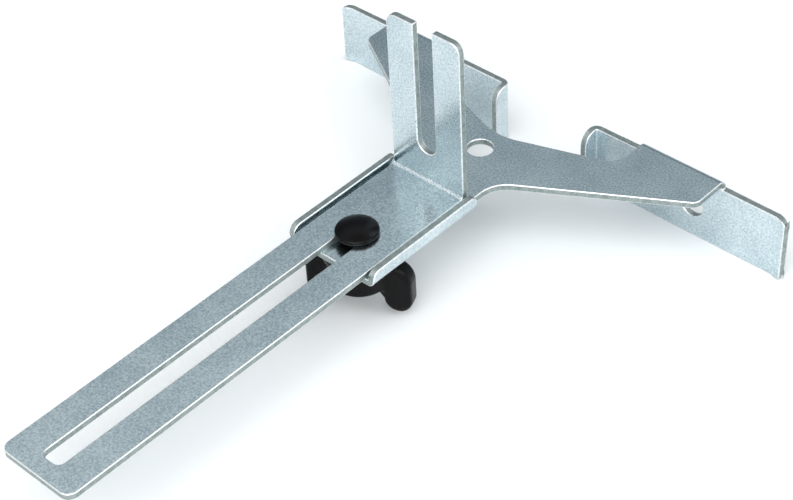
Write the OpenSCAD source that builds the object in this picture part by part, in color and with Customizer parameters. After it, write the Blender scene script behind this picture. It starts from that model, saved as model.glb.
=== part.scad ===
// Adjustable edge guide for a small router.
// A slotted angle plate slides in the channel of a forked fence plate. A round-head
// bolt holds the two together, and a wing nut below locks the setting.
// The origin is the centre of the pivot hole, on the fence plate's top face.
// +X runs along the fence, +Y points at the workpiece and +Z is up.

/* [Sheet steel] */
// Thickness of both plates
sheet_t = 2; // [1.6:0.1:2.4]
// Inside radius of a sharp bend
bend_r = 1; // [0.6:0.1:1.2]

/* [Guide plate] */
// Width of the slotted arm and of the upright
arm_w = 25; // [24:0.5:26]
// Length from the free end to the back of the upright
arm_l = 140; // [130:1:160]
// Height of the upright above the arm's underside
upright_h = 51.5; // [45:0.5:60]
// Width of the slot in the arm and of the slot in the upright
slot_w = 6.5; // [6.3:0.1:7]
// Steel left between the free end and the arm's slot
slot_margin = 5; // [4:0.5:8]
// Lowest point of the upright's slot above the arm's underside
fork_bottom = 11.2; // [8:0.2:15]
// Corner radius of the arm's free end
arm_corner_r = 3; // [1:0.5:4]
// Radius of the fork's outer top corners
fork_corner_r = 3; // [1:0.5:4]

/* [Fence plate] */
// Length of the whole fence
fence_l = 162.6; // [158:0.2:170]
// Height of the fence flanges
fence_h = 20.2; // [18:0.2:22]
// Gap between the two fence flanges, where the cutter runs
cutter_gap = 30.8; // [26:0.2:32]
// Pivot hole to the fence's working face
fence_reach = 31.8; // [31:0.2:34]
// Length of the return lip at each flange's inner end
lip_l = 6.8; // [6.6:0.1:8]
// Length of the turned-back tip at each flange's outer end
tip_l = 3.8; // [3:0.1:5]
// Angle of that tip
tip_angle = 18; // [10:1:25]
// Diameter of the pivot hole
pivot_d = 7.5; // [6:0.1:8.5]
// Diameter of the screw holes in the flanges
screw_hole_d = 7; // [5:0.1:8]
// Distance between the screw holes
screw_spacing = 101.6; // [100:0.2:108]

/* [Channel] */
// Inside width of the channel that guides the arm
channel_w = 26.6; // [26.2:0.1:27]
// Height of the channel's lips above the fence plate
channel_h = 3.1; // [2.8:0.1:4]

/* [Clamp] */
// Diameter of the bolt's head
head_d = 12; // [10:0.2:13]
// Height of the bolt's head
head_h = 2.9; // [2.2:0.1:3.5]
// Diameter of the bolt's shank
shank_d = 5.9; // [5.5:0.1:6]
// Length of the bolt under its head
bolt_l = 16; // [14:0.5:18]
// Diameter of the wing nut's flange
nut_d = 20; // [18:0.5:22]
// Height of the wing nut's flange
nut_flange_h = 3; // [2:0.2:4]
// Height of the whole wing nut
nut_h = 19.2; // [18.4:0.2:22]
// Span across the wings
wing_span = 30.4; // [29:0.2:33]
// Direction of the wings at rest, counted from +X
wing_angle = 22; // [0:1:90]

/* [Hidden] */
$fn = 48;

eps = 0.01;
over = 1;                                 // how far a cutter runs past a face
bite = 0.01;                              // how far a fillet runs into the edges it joins

// Places along Y
face_y = fence_reach;                     // working face of the fence
flange_y = face_y - sheet_t;              // back of the fence flanges
upright_y = -19.5;                        // back of the upright
arm_end_y = upright_y - arm_l;            // free end of the arm
bolt_y = -49.4;                           // axis of the clamp bolt
stem_end_y = -59.7;                       // end of the fence plate's stem
channel_y0 = stem_end_y;                  // the channel's lips
channel_y1 = -19;

// Guide plate
outer_r = bend_r + sheet_t;
neck_w = slot_w - 0.3;                    // square neck of the bolt, in the slot
neck_h = sheet_t - 0.2;
stop_gap = 1.6;                           // neck to the slot's end, with the guide at rest
slot_corner_r = 2;
slot_y0 = arm_end_y + slot_margin;
slot_y1 = bolt_y + neck_w / 2 + stop_gap;

// Fence plate
flange_drop = outer_r;                    // the flanges' top edge is where their bend ends
flange_low = flange_drop + fence_h;
arm_in_x = 33.2;                          // the stretch where plate and flange are bent
arm_out_x = 60;
lip_bend_r = 0.5;                         // inside radius of the return lip's bend
lip_outer_r = lip_bend_r + sheet_t;
lip_corner_r = 4;
tip_corner_r = 2.5;
channel_bend_r = 0.5;                     // inside radius of the channel's bends
channel_front_r = 2;                      // corners of the channel's lips
channel_rear_r = 3;
stem_fillet_r = 9;                        // where the stem meets the arms
arm_angle = 30.5;                         // direction of the arms' front edges
arm_front_r = 3;
front_x = 32.2;                           // a point on the right arm's front edge
front_y = 2;
notch_y = 8.1;                            // lowest point of the notch between the arms
notch_r = 18;
notch_angle = 19;                         // direction of the notch's sides
notch_corner_r = 6;                       // where the notch meets the arms

// Corners of the fence plate's right half
channel_flat_x = channel_w / 2 - channel_bend_r;
stem_x = channel_flat_x;
stem_front_y = front_y + (stem_x - front_x) * tan(arm_angle);
arm_front_y = front_y + (arm_out_x - front_x) * tan(arm_angle);
notch_x = notch_r * sin(notch_angle);
notch_side_y = notch_y + notch_r * (1 - cos(notch_angle));
notch_end_y = notch_side_y + (arm_in_x - notch_x) * tan(notch_angle);

// Clamp
insert_d = 9;
insert_h = 9.5;
insert_bore = shank_d + 0.1;
insert_seat = insert_d + 0.1;
insert_lift = 0.5;                        // insert to the bottom of the hub
hub_d = 16.4;
hub_h = 11.8;
wing_t = 5;
wing_tip_r = 4;
wing_shoulder_r = 6;
wing_drop = 3.5;                          // top of the wings, below the nut's top
rim_r = 1;                                // rounding of the nut's flange
nut_top = -sheet_t;

zinc = [0.74, 0.78, 0.80];
black = [0.05, 0.05, 0.055];
brass = [0.80, 0.66, 0.36];

module mirrored() {
    children();
    mirror([1, 0, 0]) children();
}

// A flat bar with round ends, from y0 to y1
module slot_outline(w, y0, y1) {
    translate([-w / 2, y0 + w / 2]) square([w, y1 - y0 - w]);
    for (y = [y0 + w / 2, y1 - w / 2]) translate([0, y]) circle(d = w);
}

// A slot with square sides and small corner radii at its ends
module soft_slot_outline(w, y0, y1, r) {
    translate([-w / 2, y0 + r]) square([w, y1 - y0 - 2 * r]);
    translate([-w / 2 + r, y0]) square([w - 2 * r, y1 - y0]);
    for (x = [-w / 2 + r, w / 2 - r], y = [y0 + r, y1 - r]) translate([x, y]) circle(r = r);
}

// What a corner of radius r loses; the corner is at the origin and the sheet at +X +Y
module corner_cut(r) {
    difference() {
        translate([-over, -over]) square(r + over);
        translate([r, r]) circle(r = r);
    }
}

// Quarter of a bend, centred on the origin, in the +X +Y quadrant
module bend_outline(inner_r) {
    intersection() {
        difference() {
            circle(r = inner_r + sheet_t);
            circle(r = inner_r);
        }
        square(inner_r + sheet_t + over);
    }
}

// Extrudes a (y, z) outline from x0 to x1
module along_x(x0, x1) {
    translate([x0, 0, 0]) rotate([90, 0, 90]) linear_extrude(x1 - x0) children();
}

// Extrudes an (x, z) outline from y0 to y1
module along_y(y0, y1) {
    translate([0, y1, 0]) rotate([90, 0, 0]) linear_extrude(y1 - y0) children();
}

// Guide plate: side outline of the angle, in (y, z)
module angle_outline() {
    translate([arm_end_y, 0]) square([arm_l - outer_r, sheet_t]);
    translate([upright_y - sheet_t, outer_r]) square([sheet_t, upright_h - outer_r]);
    translate([upright_y - outer_r, outer_r]) mirror([0, 1]) bend_outline(bend_r);
}

module guide_plate() {
    color(zinc) difference() {
        along_x(-arm_w / 2, arm_w / 2) angle_outline();
        // the long slot, and the corners of the free end
        translate([0, 0, -over]) linear_extrude(sheet_t + 2 * over) {
            soft_slot_outline(slot_w, slot_y0, slot_y1, slot_corner_r);
            mirrored() translate([-arm_w / 2, arm_end_y]) corner_cut(arm_corner_r);
        }
        // the fork, open at the top
        along_y(upright_y - sheet_t - over, upright_y + over) {
            slot_outline(slot_w, fork_bottom, upright_h + slot_w);
            mirrored() translate([arm_w / 2, upright_h]) rotate(180) corner_cut(fork_corner_r);
        }
    }
}

// Right half of the fence plate's flat outline
module plate_half_outline() {
    bend_y = flange_y - bend_r;
    difference() {
        polygon([
            [0, stem_end_y],
            [stem_x, stem_end_y],
            [stem_x, stem_front_y],
            [arm_out_x, arm_front_y],
            [arm_out_x, bend_y],
            [arm_in_x, bend_y],
            [arm_in_x, notch_end_y],
            [notch_x, notch_side_y],
            [0, notch_side_y]
        ]);
        translate([0, notch_y + notch_r]) circle(r = notch_r, $fn = 96);
    }
}

// Fillet between two edges that leave the origin along a0 and a1, added to an inner
// corner or cut from an outer one. Its arc bites into the edges, so that it crosses them.
module fillet_outline(r, a0, a1) {
    half = (a1 - a0) / 2;
    middle = [cos(a0 + half), sin(a0 + half)];
    reach = r / tan(half);
    difference() {
        polygon([
            -over * middle,
            reach * [cos(a0), sin(a0)],
            r / sin(half) * middle,
            reach * [cos(a1), sin(a1)]
        ]);
        translate(r / sin(half) * middle) circle(r = r + bite);
    }
}

// The plate's flat outline, with its corners rounded
module plate_outline() {
    mirrored() difference() {
        union() {
            plate_half_outline();
            translate([stem_x, stem_front_y]) fillet_outline(stem_fillet_r, -90, arm_angle);
            translate([arm_in_x, notch_end_y]) fillet_outline(notch_corner_r, 90, 180 + notch_angle);
        }
        translate([arm_out_x, arm_front_y]) fillet_outline(arm_front_r, 90, 180 + arm_angle);
    }
}

// Cross-section of the stem's channel, right half, in (x, z)
module channel_outline() {
    translate([0, -sheet_t]) square([channel_flat_x, sheet_t]);
    translate([channel_w / 2, channel_bend_r]) square([sheet_t, channel_h - channel_bend_r]);
    translate([channel_flat_x, channel_bend_r]) mirror([0, 1]) bend_outline(channel_bend_r);
}

// Right flange seen from above, with its return lip and its turned tip
module flange_outline() {
    lip_x = cutter_gap / 2;
    tip_x = fence_l / 2 - tip_l * cos(tip_angle);
    mitre = sheet_t * tan(tip_angle / 2);
    along = [cos(tip_angle), -sin(tip_angle)];
    across = [-sin(tip_angle), -cos(tip_angle)];
    polygon([
        [lip_x + lip_outer_r, face_y],
        [tip_x, face_y],
        [tip_x, face_y] + tip_l * along,
        [tip_x, face_y] + tip_l * along + sheet_t * across,
        [tip_x - mitre, flange_y],
        [lip_x + lip_outer_r, flange_y]
    ]);
    translate([lip_x + lip_outer_r, face_y - lip_outer_r]) mirror([1, 0]) bend_outline(lip_bend_r);
    translate([lip_x, face_y - lip_l]) square([sheet_t, lip_l - lip_outer_r]);
}

// Right half of the fence: the flange, and the bend that joins it to the plate
module fence_half() {
    low = -flange_low;
    lip_y = face_y - lip_l;
    difference() {
        translate([0, 0, low]) linear_extrude(fence_h) flange_outline();
        along_y(flange_y - 2 * over, face_y + over) {
            translate([screw_spacing / 2, -flange_drop - fence_h / 2]) circle(d = screw_hole_d);
            translate([fence_l / 2, -flange_drop]) rotate(180) corner_cut(tip_corner_r);
            translate([fence_l / 2, low]) rotate(90) corner_cut(tip_corner_r);
        }
        along_x(cutter_gap / 2 - over, cutter_gap / 2 + sheet_t + over) {
            translate([lip_y, low]) corner_cut(lip_corner_r);
            translate([lip_y, -flange_drop]) rotate(-90) corner_cut(lip_corner_r);
        }
    }
    along_x(arm_in_x, arm_out_x) {
        translate([flange_y - bend_r, -outer_r]) bend_outline(bend_r);
        translate([flange_y, -outer_r - over]) square([sheet_t, over]);
    }
}

module fence_plate() {
    color(zinc) difference() {
        union() {
            translate([0, 0, -sheet_t]) linear_extrude(sheet_t) plate_outline();
            mirrored() {
                difference() {
                    along_y(channel_y0, channel_y1) channel_outline();
                    // rounded ends of the channel's lip
                    along_x(channel_flat_x, channel_w / 2 + sheet_t + over) {
                        translate([channel_y0, channel_h]) rotate(-90) corner_cut(channel_rear_r);
                        translate([channel_y1, channel_h]) rotate(180) corner_cut(channel_front_r);
                    }
                }
                fence_half();
            }
        }
        translate([0, 0, -sheet_t - over]) cylinder(d = pivot_d, h = sheet_t + 2 * over);
        translate([0, bolt_y, -sheet_t - over]) cylinder(d = slot_w, h = sheet_t + 2 * over);
    }
}

// Round-head bolt with a square neck
module clamp_bolt() {
    rim_h = head_h / 2;
    dome_h = head_h - rim_h;
    dome_r = (head_d * head_d / 4 + dome_h * dome_h) / (2 * dome_h);
    color(black) translate([0, bolt_y, sheet_t]) {
        rotate_extrude($fn = 96) intersection() {
            translate([0, head_h - dome_r]) circle(r = dome_r, $fn = 192);
            square([head_d / 2, head_h]);
        }
        translate([-neck_w / 2, -neck_w / 2, -neck_h]) cube([neck_w, neck_w, neck_h + eps]);
        translate([0, 0, -bolt_l]) cylinder(d = shank_d, h = bolt_l);
    }
}

// Side outline of one wing, in (radius, height below the flange's top)
module wing_outline() {
    reach = wing_span / 2;
    tip_x = reach - wing_tip_r;
    tip_z = -nut_h + wing_tip_r;
    shoulder_x = reach - wing_shoulder_r;
    shoulder_z = -wing_drop - wing_shoulder_r;
    polygon([
        [hub_d / 2 - rim_r, -wing_drop],
        [shoulder_x, -wing_drop],
        [reach, shoulder_z],
        [reach, tip_z],
        [tip_x - wing_tip_r, tip_z],
        [tip_x - wing_tip_r, -hub_h - rim_r],
        [hub_d / 2 - rim_r, -hub_h + rim_r]
    ]);
    translate([tip_x, tip_z]) circle(r = wing_tip_r);
    translate([shoulder_x, shoulder_z]) circle(r = wing_shoulder_r);
}

// Moulded wing nut, with a seat for its threaded insert
module wing_nut() {
    color(black) translate([0, bolt_y, nut_top]) rotate(wing_angle) difference() {
        union() {
            rotate_extrude($fn = 96) {
                translate([0, -nut_flange_h]) square([nut_d / 2 - rim_r, nut_flange_h]);
                translate([0, -nut_flange_h + rim_r]) square([nut_d / 2, nut_flange_h - 1.5 * rim_r]);
                translate([nut_d / 2 - rim_r, -nut_flange_h + rim_r]) circle(r = rim_r);
                translate([0, -hub_h]) square([hub_d / 2, hub_h]);
            }
            for (side = [0, 180]) rotate(side)
                along_y(-wing_t / 2, wing_t / 2) wing_outline();
        }
        translate([0, 0, -hub_h - over]) cylinder(d = insert_seat, h = hub_h + 2 * over);
    }
}

// Metal insert that carries the thread
module thread_insert() {
    color(brass) translate([0, bolt_y, nut_top - hub_h + insert_lift]) difference() {
        cylinder(d = insert_d, h = insert_h);
        translate([0, 0, -over]) cylinder(d = insert_bore, h = insert_h + 2 * over);
    }
}

guide_plate();
fence_plate();
clamp_bolt();
wing_nut();
thread_insert();
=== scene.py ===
# %% [markdown]
# An edge guide for a small router. A slotted angle plate slides in the channel of a forked fence
# plate, a round-head bolt and a wing nut lock it, and the upright fork clamps to the router's base.
# The shapes of both plates are already exact in the frame that this script opens. What is left to
# do here is what a press shop and a plating bath do: ease the edges, show which faces were sheared,
# and give each part its finish. Everything is in metres, in the frame's own axes.

# %% Open the frame
import math

import bmesh
import bpy
from mathutils import Matrix, Vector
from mathutils.bvhtree import BVHTree


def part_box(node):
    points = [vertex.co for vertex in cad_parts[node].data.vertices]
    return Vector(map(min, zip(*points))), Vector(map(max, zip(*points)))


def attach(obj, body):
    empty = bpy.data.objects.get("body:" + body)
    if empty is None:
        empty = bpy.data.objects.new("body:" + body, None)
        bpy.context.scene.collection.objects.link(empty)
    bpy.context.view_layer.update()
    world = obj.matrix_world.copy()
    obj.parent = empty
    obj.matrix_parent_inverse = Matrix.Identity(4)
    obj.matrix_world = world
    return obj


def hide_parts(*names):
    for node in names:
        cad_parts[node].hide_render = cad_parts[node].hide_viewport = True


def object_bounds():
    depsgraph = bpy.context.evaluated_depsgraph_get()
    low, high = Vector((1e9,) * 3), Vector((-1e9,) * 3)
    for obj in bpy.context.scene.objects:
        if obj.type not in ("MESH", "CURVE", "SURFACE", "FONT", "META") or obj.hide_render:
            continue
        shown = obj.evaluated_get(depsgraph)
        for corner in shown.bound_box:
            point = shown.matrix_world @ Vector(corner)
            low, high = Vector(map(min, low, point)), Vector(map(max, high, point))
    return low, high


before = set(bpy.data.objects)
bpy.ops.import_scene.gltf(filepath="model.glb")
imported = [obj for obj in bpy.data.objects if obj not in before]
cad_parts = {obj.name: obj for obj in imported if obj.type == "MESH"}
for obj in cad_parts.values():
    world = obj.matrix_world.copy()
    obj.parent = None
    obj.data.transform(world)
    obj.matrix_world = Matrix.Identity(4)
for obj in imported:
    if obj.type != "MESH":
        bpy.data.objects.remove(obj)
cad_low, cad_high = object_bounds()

MM = 0.001
print("size in mm:", [round(v / MM, 1) for v in cad_high - cad_low])

# %% [markdown]
# Sizes come from the frame where it holds them, so that the pieces made here fit the plates. Boxes
# of the parts give the bolt's axis, its head's size and the wing nut's height. The plates are 2 mm
# sheet.

# %% Read the driving sizes
bolt_low, bolt_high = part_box("clamp_bolt")
nut_low, nut_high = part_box("wing_nut")
insert_low, insert_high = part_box("thread_insert")

sheet = 2.0 * MM
bolt_axis = (bolt_low + bolt_high) / 2
head_r = (bolt_high.x - bolt_low.x) / 2
print("bolt axis y:", round(bolt_axis.y / MM, 2), "mm, head", round(2 * head_r / MM, 1), "mm across")

# %% [markdown]
# The camera stands on the router's side of the fence and to the right of the arm, looks down at
# about forty degrees and is rolled a little. A lens of about 90 mm keeps the long arm from tapering
# too much.

# %% Place the camera
CAMERA_AT = Vector((282.41, -320.72, 339.65)) * MM
LOOKS_AT = Vector((10.17, -45.59, 0.0)) * MM
CAMERA_ROLL = math.radians(-3.427)

lens = bpy.data.cameras.new("camera")
lens.lens = 89.544
lens.sensor_width = 36.0
lens.shift_x = 0.00057
lens.shift_y = -0.00341
lens.clip_start = 0.01
lens.clip_end = 20.0
camera = bpy.data.objects.new("camera", lens)
bpy.context.collection.objects.link(camera)
camera.location = CAMERA_AT
camera.rotation_mode = "QUATERNION"
aim = (LOOKS_AT - CAMERA_AT).to_track_quat("-Z", "Y").to_matrix()
camera.rotation_quaternion = (aim @ Matrix.Rotation(CAMERA_ROLL, 3, "Z")).to_quaternion()
bpy.context.scene.camera = camera
print("camera stands", round((LOOKS_AT - CAMERA_AT).length / MM), "mm away")

# %% [markdown]
# Finishes and some shapes are node trees. Long chains of Math nodes are hard to read, so one small
# class stands for a node's output and turns Python arithmetic into those nodes. Its add method makes
# every other kind of node: settings first, then the values or links of the sockets.


# %% Write node maths as arithmetic
class Wire:
    """One output of a node tree. Arithmetic on it adds Math nodes."""

    def __init__(self, tree, output=None):
        self.tree = tree
        self.output = output

    def add(self, kind, settings=None, sockets=None, out=0):
        """Adds a node of any kind and returns one of its outputs."""
        node = self.tree.nodes.new(kind)
        for name, value in (settings or {}).items():
            setattr(node, name, value)
        for name, value in (sockets or {}).items():
            if isinstance(value, Wire):
                self.tree.links.new(value.output, node.inputs[name])
            else:
                node.inputs[name].default_value = value
        return Wire(self.tree, node.outputs[out])

    def maths(self, operation, *values):
        return self.add("ShaderNodeMath", {"operation": operation}, dict(enumerate(values)))

    def __add__(self, other):
        return self.maths("ADD", self, other)

    def __sub__(self, other):
        return self.maths("SUBTRACT", self, other)

    def __rsub__(self, other):
        return self.maths("SUBTRACT", other, self)

    def __mul__(self, other):
        return self.maths("MULTIPLY", self, other)

    def __truediv__(self, other):
        return self.maths("DIVIDE", self, other)

    def __pow__(self, other):
        return self.maths("POWER", self, other)

    def __abs__(self):
        return self.maths("ABSOLUTE", self)

    def __gt__(self, other):
        return self.maths("GREATER_THAN", self, other)

    __radd__ = __add__
    __rmul__ = __mul__

    def clamp(self):
        return self.add("ShaderNodeClamp", {}, {"Value": self})


def mixed(factor, first, second):
    """A colour between two colours."""
    settings = {"data_type": "RGBA"}
    return factor.add("ShaderNodeMix", settings, {0: factor, 6: first, 7: second}, out=2)


print("node arithmetic is ready")

# %% [markdown]
# A finish starts the same way each time: a new material, its shader, and the piece's Object
# coordinates. Object coordinates are in metres, so grain and scratches get their real size.


# %% Start a finish
def new_finish(name, metallic):
    """A new material, its Principled shader, and a wire on the piece's own coordinates."""
    material = bpy.data.materials.new(name)
    material.use_nodes = True
    tree = material.node_tree
    shader = tree.nodes["Principled BSDF"]
    shader.inputs["Metallic"].default_value = metallic
    place = Wire(tree).add("ShaderNodeTexCoord", out="Object")
    return material, shader, place


def noise(place, size, detail=2.0, stretch=(1.0, 1.0, 1.0)):
    """Soft random values from 0 to 1, with lumps about as large as size, in metres."""
    moved = place.add("ShaderNodeMapping", {}, {"Vector": place, "Scale": stretch})
    sockets = {"Vector": moved, "Scale": 1.0 / size, "Detail": detail}
    return place.add("ShaderNodeTexNoise", {"noise_dimensions": "3D"}, sockets)


def between(value, low, high):
    """Rises from 0 at low to 1 at high."""
    settings = {"clamp": True}
    return value.add("ShaderNodeMapRange", settings, {"Value": value, "From Min": low, "From Max": high})


def feed(shader, name, wire):
    wire.tree.links.new(wire.output, shader.inputs[name])


def emboss(shader, height, depth):
    """Turns a height from 0 to 1 into relief depth metres deep."""
    sockets = {"Height": height, "Distance": depth, "Strength": 1.0}
    feed(shader, "Normal", height.add("ShaderNodeBump", {}, sockets))


print("finishes can be started")

# %% [markdown]
# Bright zinc on sheet steel. The plating is a thin blue-white metal layer, smooth enough to mirror
# what stands next to it, over a sheet that keeps its fine rolled grain. Two greys mixed by fine noise
# give the grain, a wide soft cloud varies it, and the same grain feeds the roughness. Both plates
# share this one finish: where they look lighter or darker, it is the room that they reflect.


# %% Make the zinc finish
def zinc_finish():
    material, shader, place = new_finish("bright_zinc", 1.0)
    cloud = noise(place, 14 * MM, 2.0)
    mottle = noise(place, 0.55 * MM, 3.0)
    grain = noise(place, 0.16 * MM, 2.0)
    hairline = noise(place, 0.35 * MM, 1.0, (0.03, 1.0, 1.0))
    scratch = between(hairline, 0.72, 0.78)
    tone = between(cloud * 0.2 + mottle * 0.55 + grain * 0.25, 0.40, 0.60)
    colour = mixed(tone, (0.41, 0.50, 0.54, 1.0), (0.72, 0.81, 0.84, 1.0))
    feed(shader, "Base Color", mixed(scratch * 0.25, colour, (0.86, 0.88, 0.88, 1.0)))
    feed(shader, "Roughness", 0.13 + mottle * 0.09 + grain * 0.06)
    emboss(shader, mottle * 0.5 + grain * 0.35 + scratch * 0.1, 0.012 * MM)
    return material


zinc = zinc_finish()
print("zinc:", len(zinc.node_tree.nodes), "nodes")

# %% [markdown]
# A sheared edge looks different from the rolled face: rougher, streaked by the punch, and duller and
# greener under the plating. Noise that is stretched along Z gives the streaks. Z is the thickness of
# the flat parts, so there they run across the cut; on the upright and the flanges they run along it.


# %% Make the sheared edge finish
def sheared_finish():
    material, shader, place = new_finish("sheared_edge", 1.0)
    streak = noise(place, 0.22 * MM, 2.0, (1.0, 1.0, 0.18))
    blotch = noise(place, 1.8 * MM, 3.0)
    tone = between(streak * 0.6 + blotch * 0.4, 0.34, 0.66)
    colour = mixed(tone, (0.20, 0.245, 0.24, 1.0), (0.42, 0.47, 0.46, 1.0))
    feed(shader, "Base Color", colour)
    feed(shader, "Roughness", 0.36 + streak * 0.22)
    emboss(shader, streak * 0.7 + blotch * 0.3, 0.10 * MM)
    return material


def rolled_corner_finish():
    material, shader, place = new_finish("rolled_corner", 1.0)
    wear = noise(place, 0.7 * MM, 3.0)
    colour = mixed(between(wear, 0.3, 0.7), (0.66, 0.70, 0.72, 1.0), (0.86, 0.88, 0.89, 1.0))
    feed(shader, "Base Color", colour)
    feed(shader, "Roughness", 0.20 + wear * 0.16)
    emboss(shader, wear, 0.02 * MM)
    return material


sheared = sheared_finish()
rolled_corner = rolled_corner_finish()
print("sheared edges:", sheared.name, rolled_corner.name)

# %% [markdown]
# The bolt's head has a gloss black coating, and the wing nut is moulded in glossy black plastic.
# Both are nearly black. A weak specular level and a thin coat keep the pale room from turning them
# grey, and a very shallow orange-peel relief keeps them from looking like glass.


# %% Make the black finishes
def black_finish(name, tint, peel, roughness):
    material, shader, place = new_finish(name, 0.0)
    ripple = noise(place, peel, 2.0)
    speck = between(noise(place, 0.25 * MM, 1.0), 0.66, 0.72)
    lighter = tuple(2.0 * v for v in tint)
    feed(shader, "Base Color", mixed(between(ripple, 0.3, 0.7), (*tint, 1.0), (*lighter, 1.0)))
    feed(shader, "Roughness", roughness + ripple * 0.08 + speck * 0.12)
    shader.inputs["Specular IOR Level"].default_value = 0.10
    shader.inputs["Coat Weight"].default_value = 0.08
    shader.inputs["Coat Roughness"].default_value = 0.08
    emboss(shader, ripple, 0.02 * MM)
    return material


BOLT_PEEL = 1.6 * MM
NUT_PEEL = 2.5 * MM
bolt_black = black_finish("gloss_black_bolt", (0.0004, 0.0004, 0.0006), BOLT_PEEL, 0.20)
nut_black = black_finish("moulded_black", (0.0004, 0.0004, 0.0005), NUT_PEEL, 0.24)
print("black finishes:", bolt_black.name, nut_black.name)

# %% [markdown]
# The threaded insert is turned from brass, so its marks run round the axis. The thread under the
# bolt's head is dark oiled steel with marks of the same kind.


# %% Make the brass and thread finishes
def turned_finish(name, dark, light, roughness):
    material, shader, place = new_finish(name, 1.0)
    marks = noise(place, 0.12 * MM, 1.0, (0.05, 0.05, 1.0))
    stain = noise(place, 1.5 * MM, 3.0)
    tone = between(marks * 0.5 + stain * 0.5, 0.35, 0.65)
    feed(shader, "Base Color", mixed(tone, (*dark, 1.0), (*light, 1.0)))
    feed(shader, "Roughness", roughness + marks * 0.15)
    emboss(shader, marks, 0.02 * MM)
    return material


insert_brass = turned_finish("turned_brass", (0.50, 0.36, 0.14), (0.78, 0.60, 0.28), 0.22)
thread_steel = turned_finish("oiled_thread", (0.05, 0.05, 0.055), (0.16, 0.16, 0.17), 0.28)
print("turned finishes:", insert_brass.name, thread_steel.name)

# %% [markdown]
# The two plates. Their shape is exact already, but every edge in it is a perfect corner, and no
# pressed part has those: shearing rolls one side of the edge over and plating rounds the rest. So a
# copy of each plate is merged into clean faces and bevelled. Before that, a ray is sent inwards
# from each face: if it comes out again after one sheet thickness, the face is a rolled side of the
# sheet, and if it travels further, the face was sheared.


# %% Tell rolled faces from sheared ones
FACE, SHEARED, CORNER = 0, 1, 2

STEP_IN = 0.01 * MM
SHEET_AND_A_BIT = 1.2 * sheet
MERGE_WITHIN = 0.02 * MM
FLAT_WITHIN = math.radians(0.3)


def mark_sheared(plate):
    """Gives each face of a plate the slot of the rolled or the sheared finish."""
    inside = BVHTree.FromBMesh(plate)
    for face in plate.faces:
        start = face.calc_center_median() - face.normal * STEP_IN
        distance = inside.ray_cast(start, -face.normal)[3]
        thin = distance is not None and distance < SHEET_AND_A_BIT
        face.material_index = FACE if thin else SHEARED


def merged_copy(node):
    """A CAD part as a mesh whose flat faces are whole."""
    plate = bmesh.new()
    plate.from_mesh(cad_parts[node].data)
    bmesh.ops.remove_doubles(plate, verts=plate.verts, dist=MERGE_WITHIN)
    plate.normal_update()
    mark_sheared(plate)
    bmesh.ops.dissolve_limit(
        plate,
        angle_limit=FLAT_WITHIN,
        verts=plate.verts,
        edges=plate.edges,
        delimit={"MATERIAL"},
    )
    return plate


# %% [markdown]
# Bevel, with an angle limit, touches only real corners and leaves the facets of bends and holes
# alone. Its new faces take the bright rolled-corner finish. Weighted Normal then keeps the large
# faces flat in the light. The result is made a plain mesh, so that nothing is left live on it. Its
# points are then kept inside the part's own box. The arm's box starts a hair higher, so that its
# underside and the plate's top aren't in one plane.


# %% Ease the plates' edges
def link(name, mesh):
    piece = bpy.data.objects.new(name, mesh)
    bpy.context.collection.objects.link(piece)
    return piece


def settle(piece):
    """Turns a piece and its modifiers into a plain mesh."""
    bpy.context.view_layer.update()
    solid = bpy.data.meshes.new_from_object(piece.evaluated_get(bpy.context.evaluated_depsgraph_get()))
    piece.modifiers.clear()
    old = piece.data
    piece.data = solid
    bpy.data.meshes.remove(old)
    solid.name = piece.name


def report(piece):
    """Prints a piece's size and whether its surface is closed."""
    check = bmesh.new()
    check.from_mesh(piece.data)
    open_edges = sum(1 for edge in check.edges if len(edge.link_faces) != 2)
    triangles = len(check.calc_loop_triangles())
    volume = check.calc_volume(signed=True) / MM ** 3
    print(f"{piece.name}: {triangles} triangles, {open_edges} open edges, {volume:.0f} mm3")
    check.free()


FACE_GAP = 0.01 * MM
EASED = 0.28 * MM
EASING_STEPS = 3
REAL_CORNER = math.radians(40)
FLAT_FACE_WEIGHT = 60


def keep_inside(mesh, low, high):
    """Moves every point that lies outside a box back to its side."""
    for vertex in mesh.vertices:
        vertex.co = [min(max(v, a), b) for v, a, b in zip(vertex.co, low, high)]


def pressed_plate(name, node, body):
    plate = merged_copy(node)
    mesh = bpy.data.meshes.new(name)
    plate.to_mesh(mesh)
    plate.free()
    piece = link(name, mesh)
    for finish in (zinc, sheared, rolled_corner):
        mesh.materials.append(finish)
    mesh.shade_smooth()
    bevel = piece.modifiers.new("eased", "BEVEL")
    bevel.width = EASED
    bevel.segments = EASING_STEPS
    bevel.limit_method = "ANGLE"
    bevel.angle_limit = REAL_CORNER
    bevel.use_clamp_overlap = False
    bevel.material = CORNER
    weighted = piece.modifiers.new("flat_faces", "WEIGHTED_NORMAL")
    weighted.weight = FLAT_FACE_WEIGHT
    weighted.keep_sharp = True
    settle(piece)
    low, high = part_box(node)
    if body == "guide":
        low = Vector(low) + Vector((0, 0, FACE_GAP))
    keep_inside(piece.data, low, high)
    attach(piece, body)
    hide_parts(node)
    report(piece)


pressed_plate("slotted_angle_plate", "guide_plate", "guide")
pressed_plate("forked_fence_plate", "fence_plate", "fence")

# %% [markdown]
# The clamp bolt is a coach bolt: a low round head, a square neck that the arm's slot keeps from
# turning, and a thread. The head is turned on a lathe in the real world, so here its outline, an
# arc for the crown and a small arc for the rim, is spun round the axis.

# %% Turn the bolt's head
HEAD_RIM = 0.9 * MM
HEAD_SIDE = 1.45 * MM
RIM_ENDS_AT = 35
AROUND = 96

head_under = sheet
head_h = bolt_high.z - head_under


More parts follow.
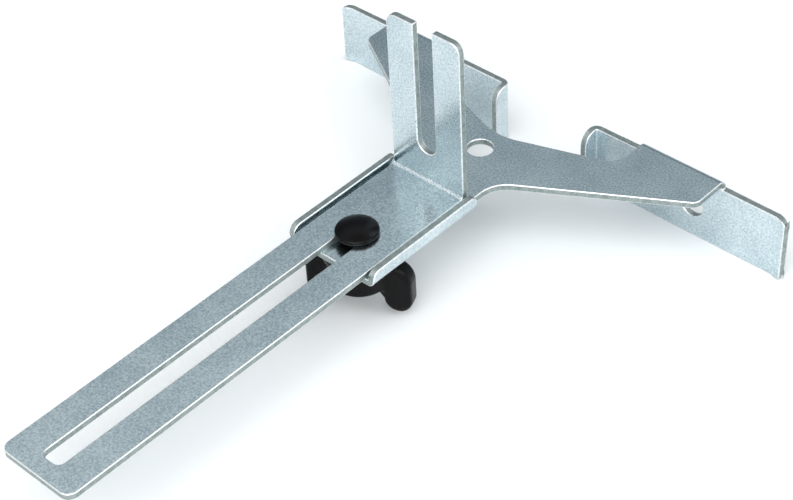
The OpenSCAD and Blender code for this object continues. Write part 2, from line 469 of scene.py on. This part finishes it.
def arc(centre, radius, start, stop, steps):
    """Points of an arc in the (radius, height) plane, angles in degrees."""
    turns = [math.radians(start + (stop - start) * i / steps) for i in range(steps + 1)]
    return [(centre[0] + radius * math.cos(a), centre[1] + radius * math.sin(a)) for a in turns]


def lathe(outline, steps):
    """Spins an outline that starts and ends on the axis into a closed shape."""
    turned = bmesh.new()
    rings = []
    for radius, height in outline:
        if radius < 0.001 * MM:
            rings.append([turned.verts.new((0, 0, height))] * steps)
            continue
        angles = [2 * math.pi * i / steps for i in range(steps)]
        points = [(radius * math.cos(a), radius * math.sin(a), height) for a in angles]
        rings.append([turned.verts.new(point) for point in points])
    for lower, upper in zip(rings, rings[1:]):
        for i in range(steps):
            j = (i + 1) % steps
            corners = list(dict.fromkeys((lower[i], lower[j], upper[j], upper[i])))
            turned.faces.new(corners)
    bmesh.ops.recalc_face_normals(turned, faces=turned.faces)
    return turned


def head_outline():
    """Underside, rim and crown of the head."""
    crown_drop = head_h - HEAD_SIDE
    crown_r = (head_r ** 2 + crown_drop ** 2) / (2 * crown_drop)
    crown_z = head_under + head_h - crown_r
    rim = arc((head_r - HEAD_RIM, head_under + HEAD_RIM), HEAD_RIM, -90, RIM_ENDS_AT, 12)
    edge_r, edge_z = rim[-1]
    first = math.degrees(math.atan2(edge_z - crown_z, edge_r))
    crown = arc((0, crown_z), math.hypot(edge_r, edge_z - crown_z), first, 90, 24)
    top = head_under + head_h
    crown = [(r, min(z, top)) for r, z in crown[1:]]
    return [(0, head_under), *rim, *crown[:-1], (0, crown[-1][1])]


head = lathe(head_outline(), AROUND)
print("head:", len(head.faces), "faces,", round(head_h / MM, 2), "mm high")

# %% [markdown]
# The neck is a square block with its edges eased. It ends 0.2 mm above the fence plate, so that it
# doesn't bear on it when the bolt is tightened.

# %% Forge the square neck
NECK = 6.2 * MM
NECK_DEEP = 1.8 * MM
NECK_EASED = 0.35 * MM
NECK_IN_HEAD = 0.4 * MM


def eased_block(low, high, eased):
    block = bmesh.new()
    size = high - low
    place = Matrix.Translation((low + high) / 2) @ Matrix.Diagonal((*size, 1.0))
    bmesh.ops.create_cube(block, size=1.0, matrix=place)
    bmesh.ops.bevel(block, geom=block.edges[:], offset=eased, segments=3, affect="EDGES", profile=0.5)
    return block


neck_low = Vector((-NECK / 2, -NECK / 2, head_under - NECK_DEEP))
neck_high = Vector((NECK / 2, NECK / 2, head_under + NECK_IN_HEAD))
neck = eased_block(neck_low, neck_high, NECK_EASED)
print("neck:", round(NECK / MM, 1), "mm square")

# %% [markdown]
# The thread follows a rule, so Geometry Nodes make it. A cylinder with many rings is the blank, and
# Set Position moves each point in or out by a wave that climbs one pitch for every turn. Near both
# ends the wave fades out and the radius shrinks a little, as the start of a cut thread does.


# %% Draw the thread as a node tree
def new_shape_tree(name, inputs):
    """A geometry tree with named number inputs, and one wire for each."""
    tree = bpy.data.node_groups.new(name, "GeometryNodeTree")
    tree.interface.new_socket(name="Geometry", in_out="OUTPUT", socket_type="NodeSocketGeometry")
    for label, kind, value in inputs:
        socket = tree.interface.new_socket(name=label, in_out="INPUT", socket_type="NodeSocket" + kind)
        socket.default_value = value
    entry = tree.nodes.new("NodeGroupInput")
    return tree, {label: Wire(tree, entry.outputs[label]) for label, kind, value in inputs}


def end_tree(tree, shape, finish):
    """Ends a geometry tree in Realize Instances and Set Material."""
    whole = shape.add("GeometryNodeRealizeInstances", {}, {"Geometry": shape})
    dressed = whole.add("GeometryNodeSetMaterial", {}, {"Geometry": whole, "Material": finish})
    smooth = dressed.add("GeometryNodeSetShadeSmooth", {}, {"Geometry": dressed})
    exit_node = tree.nodes.new("NodeGroupOutput")
    tree.links.new(smooth.output, exit_node.inputs["Geometry"])


def cylinder_place(tree):
    """Wires for the angle in turns, the radius and the height of each point."""
    position = Wire(tree).add("GeometryNodeInputPosition")
    split = [position.add("ShaderNodeSeparateXYZ", {}, {"Vector": position}, out=i) for i in range(3)]
    x, y, z = split
    angle = x.maths("ARCTAN2", y, x) / (2 * math.pi)
    radius = (x * x + y * y) ** 0.5
    return x, y, z, angle, radius


def ridge(turn, height, pitch):
    """A wave from 0 to 1 that climbs one pitch a turn, with sloping flanks and narrow flats."""
    phase = (height / pitch - turn).maths("FRACT", height / pitch - turn)
    return (abs(phase * 2 - 1) * 1.25 - 0.12).clamp()


def thread_tree():
    inputs = [("Radius", "Float", 0.003), ("Length", "Float", 0.01), ("Pitch", "Float", 0.001),
              ("Depth", "Float", 0.0006), ("Around", "Int", 48), ("Rings", "Int", 100)]
    tree, given = new_shape_tree("screw_thread", inputs)
    blank = Wire(tree).add(
        "GeometryNodeMeshCylinder",
        {"fill_type": "NGON"},
        {"Vertices": given["Around"], "Side Segments": given["Rings"],
         "Radius": given["Radius"], "Depth": given["Length"]},
    )
    x, y, z, turn, _ = cylinder_place(tree)
    half = given["Length"] / 2
    from_end = (half - abs(z)) / given["Pitch"]
    groove = (1 - ridge(turn, z, given["Pitch"])) * from_end.clamp()
    point = (1 - (from_end * 1.4).clamp()) * 0.7
    factor = 1 - given["Depth"] * (groove + point).clamp() / given["Radius"]
    moved = x.add("ShaderNodeCombineXYZ", {}, {"X": x * factor, "Y": y * factor, "Z": z})
    shape = blank.add("GeometryNodeSetPosition", {}, {"Geometry": blank, "Position": moved})
    end_tree(tree, shape, thread_steel)
    return tree


def grown(name, tree, values):
    """Runs a geometry tree once and returns the plain mesh it makes."""
    blank = link(name + "_blank", bpy.data.meshes.new(name + "_blank"))
    growth = blank.modifiers.new("growth", "NODES")
    growth.node_group = tree
    for item in tree.interface.items_tree:
        if item.in_out == "INPUT" and item.name in values:
            growth[item.identifier] = values[item.name]
    bpy.context.view_layer.update()
    mesh = bpy.data.meshes.new_from_object(blank.evaluated_get(bpy.context.evaluated_depsgraph_get()))
    bpy.data.objects.remove(blank)
    return mesh


SHANK_R = 2.95 * MM
SHANK_IN_NECK = 0.3 * MM
SHANK_TOP = head_under - NECK_DEEP + SHANK_IN_NECK
PITCH = 1.0 * MM
THREAD_DEPTH = 0.55 * MM
RINGS_PER_MM = 12

shank_len = SHANK_TOP - bolt_low.z
thread_mesh = grown("shank", thread_tree(), {
    "Radius": SHANK_R, "Length": shank_len, "Pitch": PITCH, "Depth": THREAD_DEPTH,
    "Around": 48, "Rings": round(shank_len / MM * RINGS_PER_MM),
})
print("thread:", len(thread_mesh.polygons), "faces,", round(shank_len / MM, 1), "mm long")

# %% [markdown]
# Head, neck and thread are joined into one piece, moved onto the bolt's axis and shaded smooth
# except across real corners.


# %% Put the bolt together
def take_in(whole, part, slot, place=Matrix.Identity(4)):
    """Adds a part's faces to a piece, in the given material slot."""
    part.transform(place)
    mesh = bpy.data.meshes.new("part")
    part.to_mesh(mesh)
    before = len(whole.faces)
    whole.from_mesh(mesh)
    whole.faces.ensure_lookup_table()
    for face in whole.faces[before:]:
        face.material_index = slot
    bpy.data.meshes.remove(mesh)
    part.free()


def finished_piece(name, whole, finishes, body, node, corner=35.0):
    mesh = bpy.data.meshes.new(name)
    whole.to_mesh(mesh)
    whole.free()
    for finish in finishes:
        mesh.materials.append(finish)
    mesh.shade_smooth()
    mesh.set_sharp_from_angle(angle=math.radians(corner))
    piece = link(name, mesh)
    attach(piece, body)
    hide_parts(node)
    report(piece)


def bolt_whole():
    whole = bmesh.new()
    take_in(whole, head, 0)
    take_in(whole, neck, 0)
    shank = bmesh.new()
    shank.from_mesh(thread_mesh)
    middle = (SHANK_TOP + bolt_low.z) / 2
    take_in(whole, shank, 1, Matrix.Translation((0, 0, middle)))
    whole.transform(Matrix.Translation((bolt_axis.x, bolt_axis.y, 0)))
    return whole


bolt_finishes = (bolt_black, thread_steel)
finished_piece("round_head_bolt", bolt_whole(), bolt_finishes, "fence", "clamp_bolt")

# %% [markdown]
# The wing nut is one moulding, with soft fillets where its wings leave the hub and flange. Modelling
# such fillets by hand is slow. A distance field does it more simply: each plain form is a formula
# that says how far a point is from it, and a smooth minimum melts two forms together with a fillet.
# A Volume Cube samples the field, Volume to Mesh finds the surface where the distance is zero.

# %% Describe the wing nut by distances
WINGS_TURNED = math.radians(22)

nut_top = nut_high.z
nut_h = nut_high.z - nut_low.z
FLANGE_R = 10.0 * MM
FLANGE_H = 3.0 * MM
HUB_R = 8.2 * MM
HUB_H = 11.8 * MM
SEAT_R = 4.55 * MM
WING_T = 5.4 * MM
WING_TIP_R = 4.0 * MM
WING_TIP_OUT = 11.2 * MM
SHOULDER_R = 6.0 * MM
SHOULDER_OUT = 9.2 * MM
SHOULDER_DROP = 9.5 * MM
FLANGE_SOFT = 1.6 * MM
HUB_SOFT = 0.8 * MM
WING_SOFT = 2.2 * MM
BORE_SOFT = 0.3 * MM
BLOCK_HALF = 16.6 * MM
BLOCK_ABOVE = 0.06
BLOCK_BELOW = 1.06
CELL = 0.25 * MM


def wing_nut_tree():
    inputs = [("Flange Radius", "Float", FLANGE_R), ("Flange Height", "Float", FLANGE_H),
              ("Height", "Float", nut_h), ("Wing Thickness", "Float", WING_T),
              ("Fillet", "Float", 0.002)]
    tree, given = new_shape_tree("wing_nut_moulding", inputs)
    u, v, z, _, r = cylinder_place(tree)
    flange_half = given["Flange Height"] / 2
    flange_side = r - given["Flange Radius"]
    flange_ends = abs(z + flange_half) - flange_half
    flange = r.maths("SMOOTH_MAX", flange_side, flange_ends, FLANGE_SOFT)
    hub = r.maths("SMOOTH_MAX", r - HUB_R, abs(z + HUB_H / 2) - HUB_H / 2, HUB_SOFT)

    tip_z = WING_TIP_R - given["Height"]
    root_z = -SHOULDER_DROP
    along = ((z - root_z) / (tip_z - root_z)).clamp()
    middle = SHOULDER_OUT + along * (WING_TIP_OUT - SHOULDER_OUT)
    reach = SHOULDER_R + along * (WING_TIP_R - SHOULDER_R)
    level = root_z + along * (tip_z - root_z)
    outward = abs(u) - middle
    upward = z - level
    outline = (outward * outward + upward * upward) ** 0.5 - reach
    blade = abs(v) - given["Wing Thickness"] / 2
    wing = outline.maths("SMOOTH_MAX", outline, blade, WING_SOFT)

    body = flange.maths("SMOOTH_MIN", flange, hub, given["Fillet"])
    body = body.maths("SMOOTH_MIN", body, wing, given["Fillet"])
    bore = SEAT_R - r
    solid = body.maths("SMOOTH_MAX", body, bore, BORE_SOFT)

    lowest = {"X": -BLOCK_HALF, "Y": -BLOCK_HALF, "Z": -BLOCK_BELOW * nut_h}
    highest = {"X": BLOCK_HALF, "Y": BLOCK_HALF, "Z": BLOCK_ABOVE * nut_h}
    cells_across = round(2 * BLOCK_HALF / CELL)
    field = solid.add(
        "GeometryNodeVolumeCube", {},
        {"Density": 0 - solid * 1000, "Background": -1.0,
         "Min": Wire(tree).add("ShaderNodeCombineXYZ", {}, lowest),
         "Max": Wire(tree).add("ShaderNodeCombineXYZ", {}, highest),
         "Resolution X": cells_across, "Resolution Y": cells_across,
         "Resolution Z": round((BLOCK_BELOW + BLOCK_ABOVE) * nut_h / CELL)},
    )
    skin = field.add(
        "GeometryNodeVolumeToMesh", {"resolution_mode": "GRID"},
        {"Volume": field, "Threshold": 0.0, "Adaptivity": 0.0},
    )
    end_tree(tree, skin, nut_black)
    return tree


nut_mesh = grown("moulding", wing_nut_tree(), {"Height": nut_h})
print("wing nut:", len(nut_mesh.polygons), "faces")

# %% [markdown]
# The field gives a faithful but slightly stepped skin, so two rounds of smoothing follow, and the
# moulding is turned to where the wings rest and moved onto the bolt's axis.


# %% Finish the wing nut
SMOOTHINGS = 2
SMOOTH_BY = {"factor": 0.3, "use_axis_x": True, "use_axis_y": True, "use_axis_z": True}


def nut_whole():
    whole = bmesh.new()
    whole.from_mesh(nut_mesh)
    bmesh.ops.remove_doubles(whole, verts=whole.verts, dist=0.002 * MM)
    for _ in range(SMOOTHINGS):
        bmesh.ops.smooth_vert(whole, verts=whole.verts, **SMOOTH_BY)
    bmesh.ops.recalc_face_normals(whole, faces=whole.faces)
    onto_bolt = Matrix.Translation((bolt_axis.x, bolt_axis.y, nut_top))
    whole.transform(onto_bolt @ Matrix.Rotation(WINGS_TURNED, 4, "Z"))
    return whole


finished_piece("moulded_wing_nut", nut_whole(), (nut_black,), "nut", "wing_nut", 60.0)

# %% [markdown]
# The insert is a brass sleeve pressed into the moulding: straight knurls outside so that it can't
# turn, and a thread inside. One grid becomes the whole sleeve. Its X side wraps round the axis, and
# its Y side runs over the outside, the top, the bore and the underside, back to where it began.


# %% Wrap the threaded insert
def sleeve_tree():
    inputs = [("Outer Radius", "Float", 0.0045), ("Bore Radius", "Float", 0.003),
              ("Length", "Float", 0.0095), ("Pitch", "Float", 0.001), ("Thread Depth", "Float", 0.0005),
              ("Knurls", "Float", 36.0), ("Knurl Depth", "Float", 0.00015)]
    tree, given = new_shape_tree("knurled_sleeve", inputs)
    grid = Wire(tree).add(
        "GeometryNodeMeshGrid", {},
        {"Size X": 1.0, "Size Y": 4.0, "Vertices X": 145, "Vertices Y": 361},
    )
    position = grid.add("GeometryNodeInputPosition")
    turn = position.add("ShaderNodeSeparateXYZ", {}, {"Vector": position}, out=0) + 0.5
    side = position.add("ShaderNodeSeparateXYZ", {}, {"Vector": position}, out=1) + 2.0
    wall = given["Outer Radius"] - given["Bore Radius"]
    rise = (side.clamp() - (side - 2).clamp()) * given["Length"]
    inward = ((side - 1).clamp() - (side - 3).clamp()) * wall
    outside = 1 - (side > 1.0)
    in_bore = (side > 2.0) * (1 - (side > 3.0))
    near_end = (given["Length"] / 2 - abs(rise - given["Length"] / 2)) / given["Pitch"]
    fade = (near_end * 2).clamp()
    knurl = abs((turn * given["Knurls"]).maths("FRACT", turn * given["Knurls"]) * 2 - 1)
    cut = knurl * outside * given["Knurl Depth"] * fade
    tooth = ridge(turn, rise, given["Pitch"]) * in_bore * given["Thread Depth"] * fade
    radius = given["Outer Radius"] - inward - cut + given["Thread Depth"] * in_bore * fade - tooth
    angle = turn * (2 * math.pi)
    x = radius * angle.maths("COSINE", angle)
    y = radius * angle.maths("SINE", angle)
    moved = x.add("ShaderNodeCombineXYZ", {}, {"X": x, "Y": y, "Z": rise})
    wrapped = grid.add("GeometryNodeSetPosition", {}, {"Geometry": grid, "Position": moved})
    sewn = wrapped.add("GeometryNodeMergeByDistance", {}, {"Geometry": wrapped, "Distance": 0.001 * MM})
    end_tree(tree, sewn, insert_brass)
    return tree


def sleeve_whole():
    mesh = grown("sleeve", sleeve_tree(), {"Length": insert_high.z - insert_low.z})
    whole = bmesh.new()
    whole.from_mesh(mesh)
    bmesh.ops.recalc_face_normals(whole, faces=whole.faces)
    whole.transform(Matrix.Translation((bolt_axis.x, bolt_axis.y, insert_low.z)))
    return whole


finished_piece("knurled_insert", sleeve_whole(), (insert_brass,), "nut", "thread_insert")

# %% [markdown]
# The floor is a pale grey sheet just under the fence's flanges, which are the lowest part. It has a
# faint mottle of its own, so that it isn't one flat colour.

# %% Lay the floor
FLOOR_REACH = 6.0
FLOOR_BELOW = 0.05 * MM


def floor_finish():
    material, shader, place = new_finish("pale_floor", 0.0)
    cloud = noise(place, 300 * MM, 2.0)
    feed(shader, "Base Color", mixed(cloud, (0.70, 0.72, 0.73, 1.0), (0.73, 0.75, 0.76, 1.0)))
    feed(shader, "Roughness", 0.7 + cloud * 0.2)
    return material


def lay_floor():
    sheet_mesh = bmesh.new()
    level = Matrix.Translation((0, 0, cad_low.z - FLOOR_BELOW))
    bmesh.ops.create_grid(sheet_mesh, x_segments=1, y_segments=1, size=FLOOR_REACH, matrix=level)
    mesh = bpy.data.meshes.new("floor")
    sheet_mesh.to_mesh(mesh)
    sheet_mesh.free()
    mesh.materials.append(floor_finish())
    floor = link("floor", mesh)


lay_floor()
print("floor at z", round(cad_low.z / MM, 1), "mm")

# %% [markdown]
# Metal shows what stands round it more than it shows its own colour. The room is pale. It is darker
# and bluer behind and to the left, a little darker straight above, and brightest high in front. Two
# large soft lamps add the highlights.


# %% Light the room
KEY_FROM = Vector((0.30, -0.66, 0.69))
DARK_SIDE = Vector((-0.71, 0.71, 0.0))


def light_room():
    world = bpy.data.worlds.new("studio")
    bpy.context.scene.world = world
    world.use_nodes = True
    tree = world.node_tree
    ground = tree.nodes["Background"]
    direction = Wire(tree).add("ShaderNodeTexCoord", out="Generated")
    height = direction.add("ShaderNodeSeparateXYZ", {}, {"Vector": direction}, out="Z")
    dot = {"operation": "DOT_PRODUCT"}
    behind = direction.add("ShaderNodeVectorMath", dot, {0: direction, 1: DARK_SIDE}, out="Value")
    facing = direction.add("ShaderNodeVectorMath", dot, {0: direction, 1: KEY_FROM}, out="Value")
    shade = between(behind, 0.15, 0.62) * (1 - between(height, 0.56, 0.86))
    key = between(facing, 0.70, 0.96)
    overhead = between(height, 0.90, 0.98)
    strength = 1.05 - shade * 0.72 + key * 1.5 - overhead * 0.35
    colour = mixed(shade, (1.0, 1.0, 1.0, 1.0), (0.78, 0.92, 1.0, 1.0))
    tree.links.new(colour.output, ground.inputs["Color"])
    tree.links.new(strength.output, ground.inputs["Strength"])


def soft_lamp(name, place, towards, size, power):
    light = bpy.data.lights.new(name, "AREA")
    light.shape = "RECTANGLE"
    light.size, light.size_y = size
    light.energy = power
    lamp = bpy.data.objects.new(name, light)
    bpy.context.collection.objects.link(lamp)
    lamp.location = place
    lamp.rotation_euler = (Vector(towards) - Vector(place)).to_track_quat("-Z", "Y").to_euler()


light_room()
LAMPS_AIM = (0, -0.05, 0)
soft_lamp("high_front", (0.5, -0.9, 1.6), LAMPS_AIM, (1.4, 1.4), 14.0)
soft_lamp("high_right", (1.3, 0.4, 1.2), LAMPS_AIM, (0.9, 0.9), 8.0)
bpy.context.scene.view_settings.view_transform = "Standard"

# %% [markdown]
# Last, the view layer is brought up to date.

# %% Finish
bpy.context.view_layer.update()
